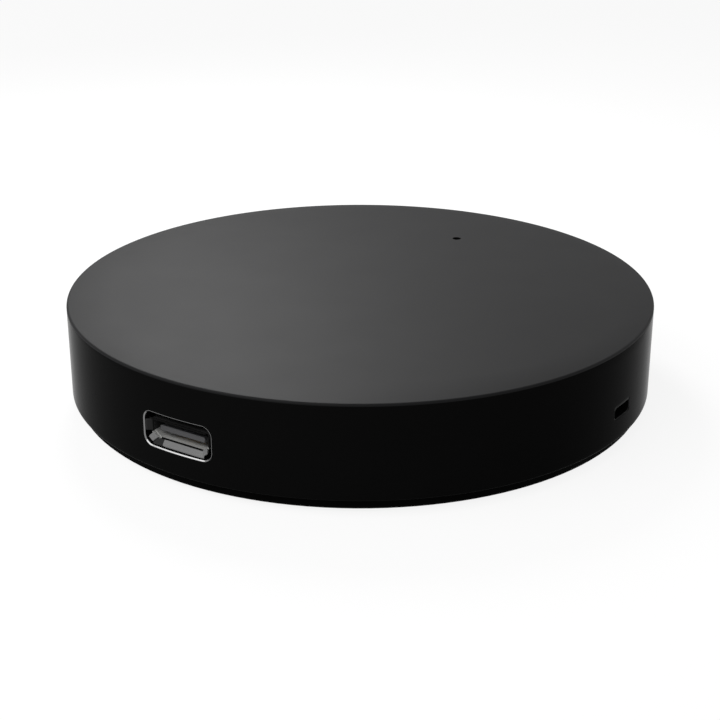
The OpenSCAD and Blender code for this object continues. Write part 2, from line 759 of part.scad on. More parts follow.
// Board of the radio module
module radio_board() {
    color("#14304a") translate([0, radio_y, board_top]) block([radio_w, radio_l, radio_t]);
}

// Can over the radio's chips, open below
module radio_shield() {
    color("#c4c5c7") translate([0, can_y, radio_top]) difference() {
        block([can_w, can_l, can_h]);
        translate([0, 0, -over]) block([can_w - 2 * can_t, can_l - 2 * can_t, can_h - can_t + over]);
    }
}

// Main chip of the radio
module radio_chip() {
    color("#1c1c1e") translate([-(chip_size.x + chip_gap) / 2, can_y, radio_top]) block(chip_size);
}

// Memory chip of the radio
module memory_chip() {
    color("#1c1c1e")
        translate([(memory_size.x + chip_gap) / 2, can_y - (memory_size.y + chip_gap) / 2, radio_top])
        block(memory_size);
}

// Crystal of the radio
module radio_crystal() {
    color("#c4c5c7")
        translate([(crystal_size.x + chip_gap) / 2, can_y + (crystal_size.y + chip_gap) / 2, radio_top])
        block(crystal_size);
}

// Antenna track: a square wave of copper along the free end of the radio's board
module radio_antenna() {
    antenna_y = radio_y + radio_l / 2 - can_inset - antenna_reach;
    color("#b8863b") translate([-antenna_n * antenna_pitch, antenna_y, radio_top]) {
        for (i = [0 : 2 * antenna_n])
            translate([i * antenna_pitch - track_w / 2, 0, 0]) cube([track_w, antenna_reach, track_t]);
        for (i = [0 : 2 * antenna_n - 1])
            translate([i * antenna_pitch - track_w / 2, (i % 2) * (antenna_reach - track_w), 0])
                cube([antenna_pitch + track_w, track_w, track_t]);
    }
}

// Gull-wing pin from a body's side at y = 0, mid height z, down to the board
module gull_pin(w, z) {
    translate([-w / 2, 0, 0]) rotate([90, 0, 90]) linear_extrude(w) polygon([
        [0, z], [0, z - tin_t], [pin_reach / 2 - tin_t, z - tin_t], [pin_reach / 2 - tin_t, 0],
        [pin_reach, 0], [pin_reach, tin_t], [pin_reach / 2, tin_t], [pin_reach / 2, z]
    ]);
}

// Body of the voltage regulator
module regulator() {
    color("#1c1c1e") translate([regulator_place.x, regulator_place.y, board_top + lift])
        block(regulator_size);
}

// Tab and pins of the voltage regulator
module regulator_leads() {
    color("#c9c9cc") translate([regulator_place.x, regulator_place.y, board_top]) {
        translate([0, regulator_size.y / 2, 0]) gull_pin(regulator_size.x / 2, regulator_size.z / 2);
        for (k = [-1 : 1])
            translate([k * regulator_size.x / 3, -regulator_size.y / 2, 0]) rotate(180)
                gull_pin(2 * pin_w, regulator_size.z / 2);
    }
}

// Can of the smoothing capacitor
module smoothing_capacitor() {
    color("#b4b6b8") translate([smoother_place.x, smoother_place.y, board_top + smoother_base_h])
        cylinder(h = smoother_h - smoother_base_h, r = smoother_r);
}

// Plastic base of the smoothing capacitor
module capacitor_base() {
    color("#151515") translate([smoother_place.x, smoother_place.y, board_top])
        intersection() {
            block([smoother_base_w, smoother_base_w, smoother_base_h]);
            rotate(45) block([smoother_cut_w, smoother_cut_w, smoother_base_h]);
        }
}

// Ceramic chip capacitors
module chip_capacitors() {
    color("#8c7a5c") {
        for (share = chip_cap_shares)
            translate([share.x * board_r, share.y * board_r, board_top]) block(chip_cap_size);
        for (side = [-1, 1])
            translate([side * (chip_cap_size.x + supply_gap) / 2, supply_y - chip_cap_size.y / 2, board_top])
                block(chip_cap_size);
    }
}

// Chip resistors, one behind each emitter
module chip_resistors() {
    color("#232325") for (i = [0 : emitter_n - 1])
        on_circle(resistor_in, emitter_first + i * 360 / emitter_n)
            translate([resistor_size.x / 2, 0, board_top]) block(resistor_size);
}

// Bodies of the transistors that drive the emitters
module driver_transistors() {
    color("#1c1c1e") for (share = driver_shares)
        translate([share.x * board_r, share.y * board_r, board_top + lift]) block(driver_size);
}

// Pins of the driver transistors
module driver_leads() {
    color("#c9c9cc") for (share = driver_shares)
        translate([share.x * board_r, share.y * board_r, board_top]) {
            translate([0, driver_size.y / 2, 0]) gull_pin(pin_w, driver_size.z / 2);
            for (side = [-1, 1])
                translate([side * driver_size.x / 3, -driver_size.y / 2, 0]) rotate(180)
                    gull_pin(pin_w, driver_size.z / 2);
        }
}

// Diode that takes surges from the power socket
module surge_diode() {
    color("#1c1c1e") translate([diode_share.x * board_r, diode_share.y * board_r, board_top])
        block(diode_size);
}

top_cover();
base_plate();
foot_pad();
socket_bezel();
base_screws();
board_screws();
circuit_board();
socket_shell();
socket_insulator();
socket_contacts();
reset_housing();
reset_frame();
reset_terminals();
reset_dome();
reset_plunger();
status_light();
light_pipe();
ir_emitters();
emitter_leads();
ir_receiver();
receiver_leads();
radio_board();
radio_shield();
radio_chip();
memory_chip();
radio_crystal();
radio_antenna();
regulator();
regulator_leads();
smoothing_capacitor();
capacitor_base();
chip_capacitors();
chip_resistors();
driver_transistors();
driver_leads();
surge_diode();
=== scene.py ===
# %% [markdown]
# # A round infrared puck
# The puck is a dark, flat drum, 66 mm wide and 12 mm high, that stands on a table and sends infrared
# commands to other appliances. Its top and side wall are one moulding of a plastic that looks black but lets
# infrared light through. The wall has an opening for the power plug, with a thin bright ring round it, and
# a small slot for the reset switch. A pinhole in the top shows a status light.
#
# The frame is the exact CAD model, in metres, with every piece in place. This script dresses it: pieces
# that show are made again as fine numpy surfaces, and everything gets the finish of its real material.

import math

import bmesh
import bpy
import numpy as np
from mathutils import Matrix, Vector


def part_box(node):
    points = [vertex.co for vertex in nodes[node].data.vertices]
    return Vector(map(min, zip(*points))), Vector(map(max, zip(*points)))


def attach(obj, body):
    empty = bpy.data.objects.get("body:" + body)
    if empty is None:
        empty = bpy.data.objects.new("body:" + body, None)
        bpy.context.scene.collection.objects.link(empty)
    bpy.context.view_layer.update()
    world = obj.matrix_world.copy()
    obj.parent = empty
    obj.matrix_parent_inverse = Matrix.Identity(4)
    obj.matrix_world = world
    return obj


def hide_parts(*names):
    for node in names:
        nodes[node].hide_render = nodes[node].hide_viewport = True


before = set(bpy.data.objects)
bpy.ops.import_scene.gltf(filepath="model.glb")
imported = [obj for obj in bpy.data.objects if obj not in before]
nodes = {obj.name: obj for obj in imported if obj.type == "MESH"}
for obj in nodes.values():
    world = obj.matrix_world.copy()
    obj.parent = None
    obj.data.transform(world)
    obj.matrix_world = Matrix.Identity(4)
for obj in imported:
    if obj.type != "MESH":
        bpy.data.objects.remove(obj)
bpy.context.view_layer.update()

# %% [markdown]
# ## Sizes
# All the surfaces below are worked out in millimetres and turned to metres at the end. The outer sizes come
# from the CAD nodes' own boxes, so that the new pieces sit exactly where the old ones were.

# %% Sizes of the cover and its openings
MM = 0.001
cover_low, cover_high = (np.array(corner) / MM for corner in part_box("top_cover"))
COVER_R = float(cover_high[0])
TOP_Z = float(cover_high[2])
SKIRT_Z = float(cover_low[2])
WALL_T, TOP_T = 1.8, 1.6
INNER_R, CEILING_Z = COVER_R - WALL_T, TOP_Z - TOP_T
OPENING, OPENING_CORNER, OPENING_Z = (8.48, 3.64), 1.02, 6.05
BEZEL_FACE, BEZEL_DEPTH = 0.15, 0.3
SLOT, SLOT_CORNER, SLOT_Z = (3.4, 1.24), 0.35, 4.92
PINHOLE_Y, PINHOLE_R = 21.7, 0.5
print("cover:", round(2 * COVER_R, 2), "mm wide, from", round(SKIRT_Z, 2), "to", round(TOP_Z, 2), "mm high")

# %% [markdown]
# ## From grids to a solid
# Every surface is a grid of points: rows one way, columns the other. A closed piece is several grids whose
# edges meet, so their shared points are merged, and the faces are turned outwards once the solid is closed.
# A row of points that all fall on one place is a pole, and merging closes it too.


# %% Grid helpers
def loft(*loops):
    """Closed loops of n points each, stacked as the rows of a grid whose columns wrap round."""
    return np.stack([np.broadcast_to(loop, loops[0].shape) for loop in loops]), True


def pole(loop):
    """All the points of a loop at its middle, which closes a loft."""
    return np.broadcast_to(loop.mean(axis=0), loop.shape)


def quads(rows, cols, wrap):
    """Corner numbers of the faces between the rows and columns of a grid, row * cols + col."""
    r = np.arange(rows - 1)[:, None] * cols
    c = np.arange(cols if wrap else cols - 1)[None, :]
    n = (c + 1) % cols
    return np.stack([r + c, r + n, r + cols + n, r + cols + c], axis=-1).reshape(-1, 4)


# Points this near, in metres, are one point, and edges this short are gone.
MERGE, SLIVER = 2e-7, 1e-9


def solid(name, grids, finishes, stands_for, sharp=40):
    """One piece of the housing from grids in mm. A grid is (points, wraps), or (points, wraps, number of its
    finish), where one number for each face may stand for the last. Edges over sharp degrees stay sharp."""
    points, faces, kinds, start = [], [], [], 0
    for grid in grids:
        p, wrap = grid[0], grid[1]
        f = quads(p.shape[0], p.shape[1], wrap) + start
        points.append(p.reshape(-1, 3))
        faces.append(f)
        kinds.append(np.broadcast_to(grid[2] if len(grid) > 2 else 0, len(f)))
        start += p.shape[0] * p.shape[1]
    mesh = bpy.data.meshes.new(name)
    mesh.from_pydata(np.concatenate(points) * MM, [], np.concatenate(faces))
    mesh.polygons.foreach_set("material_index", np.concatenate(kinds).astype(np.int32))
    work = bmesh.new()
    work.from_mesh(mesh)
    bmesh.ops.remove_doubles(work, verts=work.verts, dist=MERGE)
    bmesh.ops.dissolve_degenerate(work, edges=work.edges, dist=SLIVER)
    bmesh.ops.recalc_face_normals(work, faces=work.faces)
    open_edges = sum(len(edge.link_faces) != 2 for edge in work.edges)
    work.to_mesh(mesh)
    work.free()
    mesh.shade_smooth()
    mesh.set_sharp_from_angle(angle=math.radians(sharp))
    for finish in finishes:
        mesh.materials.append(finish)
    piece = bpy.data.objects.new(name, mesh)
    bpy.context.scene.collection.objects.link(piece)
    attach(piece, "housing")
    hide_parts(stands_for)
    print(name + ":", len(mesh.polygons), "faces,", open_edges, "open edges")


print("3 loops of 4 points make", len(quads(3, 4, True)), "faces")

# %% [markdown]
# ## Finishes
# A finish is a Principled shader with a little life in it: on real mouldings the tone and the gloss drift
# slightly, and the surface keeps the grain of its mould. Hex colours are sRGB, so one function turns them
# to the linear values that the shader works with, and one function adds a node with its settings and links.


# %% Colour and node helpers
def linear(code):
    """sRGB hex to linear: c / 12.92 when c is up to 0.04045, else ((c + 0.055) / 1.055) ** 2.4."""
    c = np.array([int(code[i : i + 2], 16) for i in (1, 3, 5)]) / 255
    return (*np.where(c <= 0.04045, c / 12.92, ((c + 0.055) / 1.055) ** 2.4), 1.0)


def add(tree, kind, sockets=None, **settings):
    """Adds a node. sockets maps a socket's name or number to a value, or to the output that feeds it."""
    made = tree.nodes.new("ShaderNode" + kind)
    for key, value in settings.items():
        setattr(made, key, value)
    for key, value in (sockets or {}).items():
        if isinstance(value, bpy.types.NodeSocket):
            tree.links.new(value, made.inputs[key])
        else:
            made.inputs[key].default_value = value
    return made


def emptied(block):
    """The node tree of a material or world, with nothing in it yet."""
    block.use_nodes = True
    block.node_tree.nodes.clear()
    return block.node_tree


# Noise has a grid of its own, so patterns are moved and turned, and no flat face lies along it.
OFF_GRID = {"Location": (0.1037, 0.1071, 0.1013), "Rotation": (0.43, 0.71, 0.29)}
CLOUD_MM = 6


def finish(name, tones, rough, grain_mm, depth_mm, drift=0.06, **sockets):
    """Material with two tones mixed by slow noise, CLOUD_MM from one cloud to the next, gloss that drifts
    with it by the share drift, and a grain of grain_mm that stands depth_mm high."""
    made = bpy.data.materials.new(name)
    tree = emptied(made)
    place = add(tree, "Mapping", {"Vector": add(tree, "TexCoord").outputs["Object"], **OFF_GRID}).outputs[0]
    cloud = add(tree, "TexNoise",
                {"Vector": place, "Scale": 1 / (CLOUD_MM * MM), "Detail": 3.0}).outputs["Fac"]
    fine = add(tree, "TexNoise",
               {"Vector": place, "Scale": 1 / (grain_mm * MM), "Detail": 2.0}).outputs["Fac"]
    tone = add(tree, "Mix", {"Factor": cloud, "A": linear(tones[0]), "B": linear(tones[1])}, data_type="RGBA")
    gloss = add(tree, "MapRange", {"Value": cloud, "From Min": 0.3, "From Max": 0.7,
                                   "To Min": rough * (1 - drift), "To Max": rough * (1 + drift)})
    bump = add(tree, "Bump", {"Height": fine, "Distance": depth_mm * MM, "Strength": 1.0})
    shader = add(tree, "BsdfPrincipled",
                 {"Roughness": gloss.outputs[0], "Normal": bump.outputs[0], **sockets})
    tree.links.new(tone.outputs[2], shader.inputs["Base Color"])
    add(tree, "OutputMaterial", {"Surface": shader.outputs[0]})
    return made


print("a mid grey, #808080, is", round(float(linear("#808080")[0]), 3), "in linear light")

# %% [markdown]
# ### The cover's two faces
# The cover is polycarbonate dyed so that infrared light passes and visible light doesn't. Its top was
# moulded against an etched face: light from above spreads over it in a soft sheen. Its wall was moulded
# against a polished face: it is nearly black from the front and only mirrors the room at a flat angle.

# %% Cover finishes
# Etched: soft grey sheen, no clear reflection. The grit is 0.12 mm, drawn at its real size. Polycarbonate has
# an index of 1.58. Both faces start from it and are matched to the photograph, which is darker.
etched_polycarbonate = finish("etched_infrared_polycarbonate", ("#0a0a0b", "#0c0c0d"), 0.55, 0.12, 0.004,
                              drift=0.015, IOR=1.195)
# Polished: deep black, with a mirror only near the rim's outline, so its index is kept low.
polished_polycarbonate = finish("polished_infrared_polycarbonate", ("#0e0e0e", "#101010"), 0.18, 2.0, 0.0004,
                                IOR=1.04)
print("cover finishes made")

# %% [markdown]
# ## The cover
# The cover is a thick cup: top, wall and ceiling. It could be cut from a disc with booleans, but cuts leave
# long thin faces that spoil the reflections. Here each opening sits in a patch of the wall: its rounded
# outline is the patch's first loop, the patch's frame is the last, and the loops between blend the two, so
# the wall stays a true cylinder all round the opening.

# %% Outlines
TURNS, ROWS = 720, 28


def ring(radius, z, count=TURNS):
    """Circle of points round the puck's axis, from the front towards +X: (r sin a, -r cos a, z)."""
    a = np.arange(count) * 2 * np.pi / count
    return np.stack([radius * np.sin(a), -radius * np.cos(a), np.full(count, z)], axis=1)


def rounded(width, height, corner, across, along, arc=8):
    """Rounded rectangle of points (x, z) round (0, 0): half a corner, a straight run, half a corner, four
    times over. A corner's points are its centre + corner * (cos a, sin a)."""
    a, b = width / 2 - corner, height / 2 - corner
    centres = np.array([(-a, -b), (a, -b), (a, b), (-a, b)])
    sides = []
    for k, count in enumerate((across, along, across, along)):
        angles = np.radians(225 + 90 * k) + np.arange(arc) * np.pi / 4 / arc
        turn = np.stack([np.cos(angles), np.sin(angles)], axis=1)
        late = np.stack([np.cos(angles + np.pi / 4), np.sin(angles + np.pi / 4)], axis=1)
        here, there = centres[k], centres[(k + 1) % 4]
        run = (np.arange(count - 2 * arc) / (count - 2 * arc))[:, None]
        sides += [here + corner * turn, here + corner * late[0] + run * (there - here), there + corner * late]
    return np.concatenate(sides)


def frame_loop(half, low, high, across, along):
    """Rectangle of points (angle, z), as many a side as the outline that it surrounds."""
    s, t = np.arange(across) / across, np.arange(along) / along
    return np.concatenate([
        np.stack([half * (2 * s - 1), np.full(across, low)], axis=1),
        np.stack([np.full(along, half), low + (high - low) * t], axis=1),
        np.stack([half * (1 - 2 * s), np.full(across, high)], axis=1),
        np.stack([np.full(along, -half), high - (high - low) * t], axis=1)])


def on_cylinder(angle_z, radius, turn=0.0):
    """Points (angle, z) on the upright cylinder: (r sin(angle + turn), -r cos(angle + turn), z)."""
    a = angle_z[..., 0] + turn
    return np.stack([radius * np.sin(a), -radius * np.cos(a), angle_z[..., 1]], axis=-1)


def port(outline, z, radius, turn=0.0):
    """An outline that is carried straight in onto the cylinder: angle = arcsin(x / radius)."""
    angle_z = np.stack([np.arcsin(outline[:, 0] / radius), outline[:, 1] + z], axis=1)
    return on_cylinder(angle_z, radius, turn)


def patch(outline, z, radius, half, low, high, across, turn=0.0, loops=9):
    """The wall between a port and its frame: (1 - w) * port + w * frame, in angle and z, w = t ** 1.4."""
    inner = np.stack([np.arcsin(outline[:, 0] / radius), outline[:, 1] + z], axis=1)
    outer = frame_loop(half, low, high, across, ROWS)
    w = (np.linspace(0, 1, loops) ** 1.4)[:, None, None]
    return on_cylinder((1 - w) * inner + w * outer, radius, turn), True


print("a step along the wall is", round(2 * math.pi * COVER_R / TURNS, 3), "mm")

# %% Wall with its two openings
STEP = 2 * math.pi / TURNS
PORT_HALF, SLOT_HALF, QUARTER = 32, 20, TURNS // 4
WALL_EDGE, SKIRT_EDGE, SLOT_BREAK = 0.25, 0.15, 0.05


def wall(radius, low, high, port_outline, slot_outline):
    """A full wall: two patches round the openings and two plain stretches of grid between them."""
    z = np.linspace(low, high, ROWS + 1)
    stretches = []
    for first, last in ((PORT_HALF, QUARTER - SLOT_HALF), (QUARTER + SLOT_HALF, TURNS - PORT_HALF)):
        a = np.arange(first, last + 1) * STEP
        angle_z = np.stack(np.broadcast_arrays(a[None, :], z[:, None]), axis=-1)
        stretches.append((on_cylinder(angle_z, radius), False))
    return stretches + [
        patch(port_outline, OPENING_Z, radius, PORT_HALF * STEP, low, high, 2 * PORT_HALF),
        patch(slot_outline, SLOT_Z, radius, SLOT_HALF * STEP, low, high, 2 * SLOT_HALF, math.pi / 2)]


opening = rounded(*OPENING, OPENING_CORNER, 2 * PORT_HALF, ROWS)
recess = rounded(OPENING[0] + 2 * BEZEL_FACE, OPENING[1] + 2 * BEZEL_FACE, OPENING_CORNER + BEZEL_FACE,
                 2 * PORT_HALF, ROWS)
slot_mouth = rounded(SLOT[0] + 2 * SLOT_BREAK, SLOT[1] + 2 * SLOT_BREAK, SLOT_CORNER + SLOT_BREAK,
                     2 * SLOT_HALF, ROWS)
slot_neck = rounded(*SLOT, SLOT_CORNER, 2 * SLOT_HALF, ROWS)
outer_wall = wall(COVER_R, SKIRT_Z + SKIRT_EDGE, TOP_Z - WALL_EDGE, recess, slot_mouth)
inner_wall = wall(INNER_R, SKIRT_Z, CEILING_Z, opening, slot_neck)
BREAK_DEPTHS = 0.02, 0.09
port_walls = [
    loft(port(recess, OPENING_Z, COVER_R), port(recess, OPENING_Z, COVER_R - BEZEL_DEPTH),
         port(opening, OPENING_Z, COVER_R - BEZEL_DEPTH), port(opening, OPENING_Z, INNER_R)),
    loft(port(slot_mouth, SLOT_Z, COVER_R, math.pi / 2),
         port((slot_mouth + slot_neck) / 2, SLOT_Z, COVER_R - BREAK_DEPTHS[0], math.pi / 2),
         port(slot_neck, SLOT_Z, COVER_R - BREAK_DEPTHS[1], math.pi / 2),
         port(slot_neck, SLOT_Z, INNER_R, math.pi / 2))]
# The slot's broken edge (its first two rows) has the etched finish of the top.
port_walls[1] = (*port_walls[1], np.repeat([1, 1, 0], len(slot_neck)))
print("wall:", sum(g[0].shape[0] * g[0].shape[1] for g in outer_wall + inner_wall), "points")

# %% Top, ceiling and edges
def disc(radius, z, hole_r, rows):
    """Flat ring from the pinhole's circle to the round edge: hole + (edge - hole) * t ** 1.5 along rays from
    the pinhole's centre."""
    edge = ring(radius, z)
    centre = np.array([0.0, PINHOLE_Y, z])
    ray = (edge - centre) / np.linalg.norm(edge - centre, axis=1)[:, None]
    hole = centre + hole_r * ray
    t = (np.linspace(0, 1, rows) ** 1.5)[:, None, None]
    return hole + (edge - hole) * t


def rounded_edge(radius, z, size, first, last, steps=6):
    """Quarter round of an edge: (r - size + size cos a, z - size + size sin a) for a from first to last."""
    angles = np.radians(np.linspace(first, last, steps))
    return [ring(radius - size + size * math.cos(a), z + size * math.sin(a)) for a in angles]


HOLE_BREAK = 0.02
top = disc(COVER_R - WALL_EDGE, TOP_Z, PINHOLE_R + HOLE_BREAK, 16)
ceiling = disc(INNER_R, CEILING_Z, PINHOLE_R, 6)
hole_top = np.column_stack([ceiling[0][:, :2], top[0][:, 2] - HOLE_BREAK])
rim = loft(*rounded_edge(COVER_R, TOP_Z - WALL_EDGE, WALL_EDGE, 0, 90))
skirt = loft(*rounded_edge(COVER_R, SKIRT_Z + SKIRT_EDGE, SKIRT_EDGE, 0, -90), ring(INNER_R, SKIRT_Z))
print("top:", top.shape[0] * top.shape[1], "points, ceiling:", ceiling.shape[0] * ceiling.shape[1], "points")

# %% Posts, rib and the whole cover
def around(x, y, profile, count=48):
    """Points (r, z) turned round an upright axis through (x, y): one circle for each, closed by its poles."""
    a = np.arange(count) * 2 * np.pi / count
    return loft(*[np.stack([x + r * np.cos(a), y + r * np.sin(a), np.full(count, z)], axis=1)
                  for r, z in profile])


# Inside, four posts with pilot holes take the base's screws, and a short rib at -X keys the base.
POST_LOW, POST_RING, POST_R, PILOT_R, PILOT_END = 3.3, 26.0, 2.6, 1.02, 8.3
ROOT_Z = CEILING_Z + 0.2
post_profile = [(0, PILOT_END), (PILOT_R, PILOT_END), (PILOT_R, POST_LOW), (POST_R, POST_LOW),
                (POST_R, ROOT_Z), (0, ROOT_Z)]
posts = [around(POST_RING * math.cos(a), POST_RING * math.sin(a), post_profile)
         for a in np.radians([45, 135, 225, 315])]
RIB, RIB_CORNER, RIB_X, RIB_ENDS = (1.75, 2.0), 0.02, -30.725, (2.35, 3.35)
rib_outline = rounded(*RIB, RIB_CORNER, 24, 24)
rib_low, rib_high = (np.column_stack([rib_outline + (RIB_X, 0), np.full(len(rib_outline), z)])
                     for z in RIB_ENDS)
rib = loft(pole(rib_low), rib_low, rib_high, pole(rib_high))
solid("cover", [(top, True, 1), (ceiling, True), loft(top[0], hole_top, ceiling[0]), (*rim, 1), skirt]
      + outer_wall + inner_wall + port_walls + posts + [rib],
      [polished_polycarbonate, etched_polycarbonate], "top_cover")

# %% [markdown]
# ## The bright ring
# A thin plated ring is let into the wall round the socket's opening. A narrow flat rim faces the front, and
# a 45 degree bevel leads the plug in, so the lower side looks up at the light and shines, and the other sides
# stay dull. It is copies of the opening's outline at different sizes and depths, joined into a band.

# %% Ring finish and shape
# Dark chrome on plastic: a clear mirror of a mid grey, which turns near white where it shows a lamp.
dark_chrome = finish("dark_chrome_plating", ("#787878", "#7c7c7c"), 0.16, 0.4, 0.0006, Metallic=1.0)
FIT, BEVEL = 0.02, 0.1
band = rounded(OPENING[0] + 2 * (BEZEL_FACE - FIT), OPENING[1] + 2 * (BEZEL_FACE - FIT),
               OPENING_CORNER + BEZEL_FACE - FIT, 2 * PORT_HALF, ROWS)
face = port(band, OPENING_Z, COVER_R)
RIM_IN = 0.09
rim_loop = rounded(OPENING[0] + 2 * RIM_IN, OPENING[1] + 2 * RIM_IN, OPENING_CORNER + RIM_IN,
                   2 * PORT_HALF, ROWS)
ring_back = COVER_R - BEZEL_DEPTH + FIT
ring_loops = [face, port(rim_loop, OPENING_Z, COVER_R), port(opening, OPENING_Z, COVER_R - BEVEL),
              port(opening, OPENING_Z, ring_back), port(band, OPENING_Z, ring_back), face]
solid("socket_ring", [loft(*ring_loops)], [dark_chrome], "socket_bezel", sharp=30)

# %% [markdown]
# ## The power socket
# The socket's shell is one strip of tinned steel sheet folded into a sleeve, with a pressed line at its
# mouth, where six lips are bent outwards to guide the plug. A folded outline is a polygon whose corners are
# arcs. The sleeve carries that outline along the socket, and each lip is a bent profile carried along one
# side of the outline.

# %% Folded outline
def folded(corners, radius, steps=5):
    """Polygon with round corners: each arc starts radius * tan(turn / 2) before its corner, and its points
    are centre + radius * (cos a, sin a)."""
    before, after = np.roll(corners, 1, axis=0), np.roll(corners, -1, axis=0)
    way_in = (corners - before) / np.linalg.norm(corners - before, axis=1)[:, None]
    way_out = (after - corners) / np.linalg.norm(after - corners, axis=1)[:, None]
    cross = way_in[:, 0] * way_out[:, 1] - way_in[:, 1] * way_out[:, 0]
    turn = np.arctan2(cross, (way_in * way_out).sum(axis=1))
    first = corners - way_in * (radius * np.tan(turn / 2))[:, None]
    centre = first + radius * np.stack([-way_in[:, 1], way_in[:, 0]], axis=1)
    a = np.arctan2(-way_in[:, 0], way_in[:, 1])[:, None] + turn[:, None] * np.linspace(0, 1, steps + 1)
    arcs = centre[:, None, :] + radius * np.stack([np.cos(a), np.sin(a)], axis=-1)
    return arcs.reshape(-1, 2)


SHELL_W, SHELL_H, SHELL_FLOOR, SHELL_SIDE, SHEET = 7.5, 2.3, 5.6, 0.75, 0.2
slope = math.atan2(SHELL_SIDE, (SHELL_W - SHELL_FLOOR) / 2)


def shell_corners(inset):
    """The six corners of the shell's outline, drawn in by inset; a wall that slopes by s moves its corner by
    inset * tan(s / 2)."""
    x0, x1 = SHELL_FLOOR / 2 - inset * math.tan(slope / 2), SHELL_W / 2 - inset
    z1 = SHELL_SIDE + inset * math.tan((math.pi / 2 - slope) / 2)
    z2 = SHELL_H - inset
    return np.array([(-x0, inset), (x0, inset), (x1, z1), (x1, z2), (-x1, z2), (-x1, z1)])


# The lips reach LIP_REACH below the board's top and LIP_LENGTH past the sleeve's mouth.
LIP_REACH, LIP_LENGTH, SLEEVE_LENGTH = 0.37, 0.45, 4.6
shell_low = [float(v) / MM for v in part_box("socket_shell")[0]]
BOARD_TOP = shell_low[2] + LIP_REACH
SOCKET_OUT = -shell_low[1] - LIP_LENGTH
SOCKET_BACK = SOCKET_OUT - SLEEVE_LENGTH


def along(outline, depth):
    """An outline (x, z) set at a distance in front of the puck's axis: (x, -depth, board top + z)."""
    return np.stack([outline[:, 0], np.full(len(outline), -depth), outline[:, 1] + BOARD_TOP], axis=1)


print("socket: board top", round(BOARD_TOP, 3), "mm, mouth", round(SOCKET_OUT, 3), "mm out")

# %% Sleeve and lips
# Tinned steel, drawn a pale grey: painted light, so that the floor in the tongue's shade comes out as bright
# as the lips at the mouth. It has a soft, slightly milky shine. Real tin is all metal, Metallic 1.0. These four
# are matched to the photograph with less of it, or none.
tin_with_painted_light = finish("tinned_sheet_with_painted_light", ("#b8b8b6", "#b0b0ae"), 0.55, 0.3, 0.002, Metallic=0.2)
# The lips stand in the full light at the mouth, so their tin is drawn a mid grey, darker than the sleeve's:
# painted shade.
lip_tin_with_painted_shade = finish("tinned_lips_with_painted_shade", ("#767676", "#707070"), 0.6, 0.3, 0.002, Metallic=0.2)
# Painted deep shade: the lip over the tongue, the right lip and the groove in the floor lie in shade, so their
# tin is drawn near black and dull. Its index is near 1, too low for a metal.
tin_with_painted_deep_shade = finish("tinned_sheet_with_painted_deep_shade", ("#1c1c1c", "#181818"), 0.8, 0.3, 0.002, IOR=1.02)
# Painted half shade: the floor lip's curled corner, the left lip and the sleeve's upper half catch less light,
# so their tin is drawn a dark grey. Its index is too low for a metal too.
tin_with_painted_half_shade = finish("tinned_sheet_with_painted_half_shade", ("#363636", "#313131"), 0.7, 0.3, 0.002, IOR=1.1)
PRESSED, GROOVE, GROOVE_SLOPE = 0.12, 0.34, 0.02
BEND_OUT, BEND_IN, BEND_PRESSED = 0.32, 0.14, 0.24
outside, inside = folded(shell_corners(0), BEND_OUT), folded(shell_corners(SHEET), BEND_IN)
pressed = folded(shell_corners(SHEET - PRESSED), BEND_PRESSED)
back_loop = along(outside, SOCKET_BACK)
sleeve = loft(back_loop, along(outside, SOCKET_OUT), along(pressed, SOCKET_OUT),
              along(pressed, SOCKET_OUT - GROOVE), along(inside, SOCKET_OUT - GROOVE - GROOVE_SLOPE),
              along(inside, SOCKET_BACK), back_loop)
# Rows of the sleeve's faces: outside, front edge, groove (two), inside, back. Columns go round the outline,
# six to a corner, from the floor's left end. The upper half is in the shade of the cover, so it is drawn in the
# painted half shade, and the groove in the floor is a dark line of painted deep shade.
GROOVE_ROWS, FLOOR_COLUMNS, UPPER_COLUMNS = slice(2, 4), slice(3, 9), slice(14, 34)
sleeve_kinds = np.zeros((6, len(outside)), dtype=int)
sleeve_kinds[:, UPPER_COLUMNS] = 3
sleeve_kinds[GROOVE_ROWS, FLOOR_COLUMNS] = 2
sleeve = (*sleeve, sleeve_kinds.ravel())


def lip(start, end, slit=0.35, kind=1, flare=0.42, cols=33):
    """A lip on the edge from start to end, with half a slit left free at each end. Its profile runs out along
    the inner face, n = -sheet + flare * v, and back along the outer one, n + sheet - 0.05 v. Towards its ends
    it grows shorter, by up to a fifth: length * v * (1 - 0.2 e ** 2)."""
    step = (end - start) / np.linalg.norm(end - start)
    normal = np.array([step[1], -step[0]])
    half = np.linalg.norm(end - start) / 2 - slit / 2
    v = np.concatenate([np.linspace(0, 0.96, 7), [1.0, 1.0], np.linspace(0.96, 0, 7)])
    face_n = -SHEET + flare * v
    n = face_n + np.concatenate([np.zeros(7), [0.03, SHEET - 0.08], SHEET - 0.05 * v[9:]])
    s = np.linspace(-1, 1, cols)[:, None]
    end_share = np.clip((np.abs(s) - 0.8) / 0.2, 0, 1) ** 2
    out = SOCKET_OUT + LIP_LENGTH * v * (1 - 0.2 * end_share)
    middle = (start + end) / 2
    flat = middle + (s * half)[..., None] * step + n[None, :, None] * normal
    points = np.stack([flat[..., 0], -out, flat[..., 1] + BOARD_TOP], axis=-1)
    ends = points[[0, -1]].mean(axis=1, keepdims=True) + np.zeros((2, len(v), 3))
    return np.concatenate([ends[:1], points, ends[1:]]), True, kind


# The floor's lip reaches past its corners, and a fine slit parts its curled end from the rest.
c = shell_corners(0)
wide, slit_at, FINE = np.array([0.45, 0.0]), np.array([0.75, 0.0]), 0.01
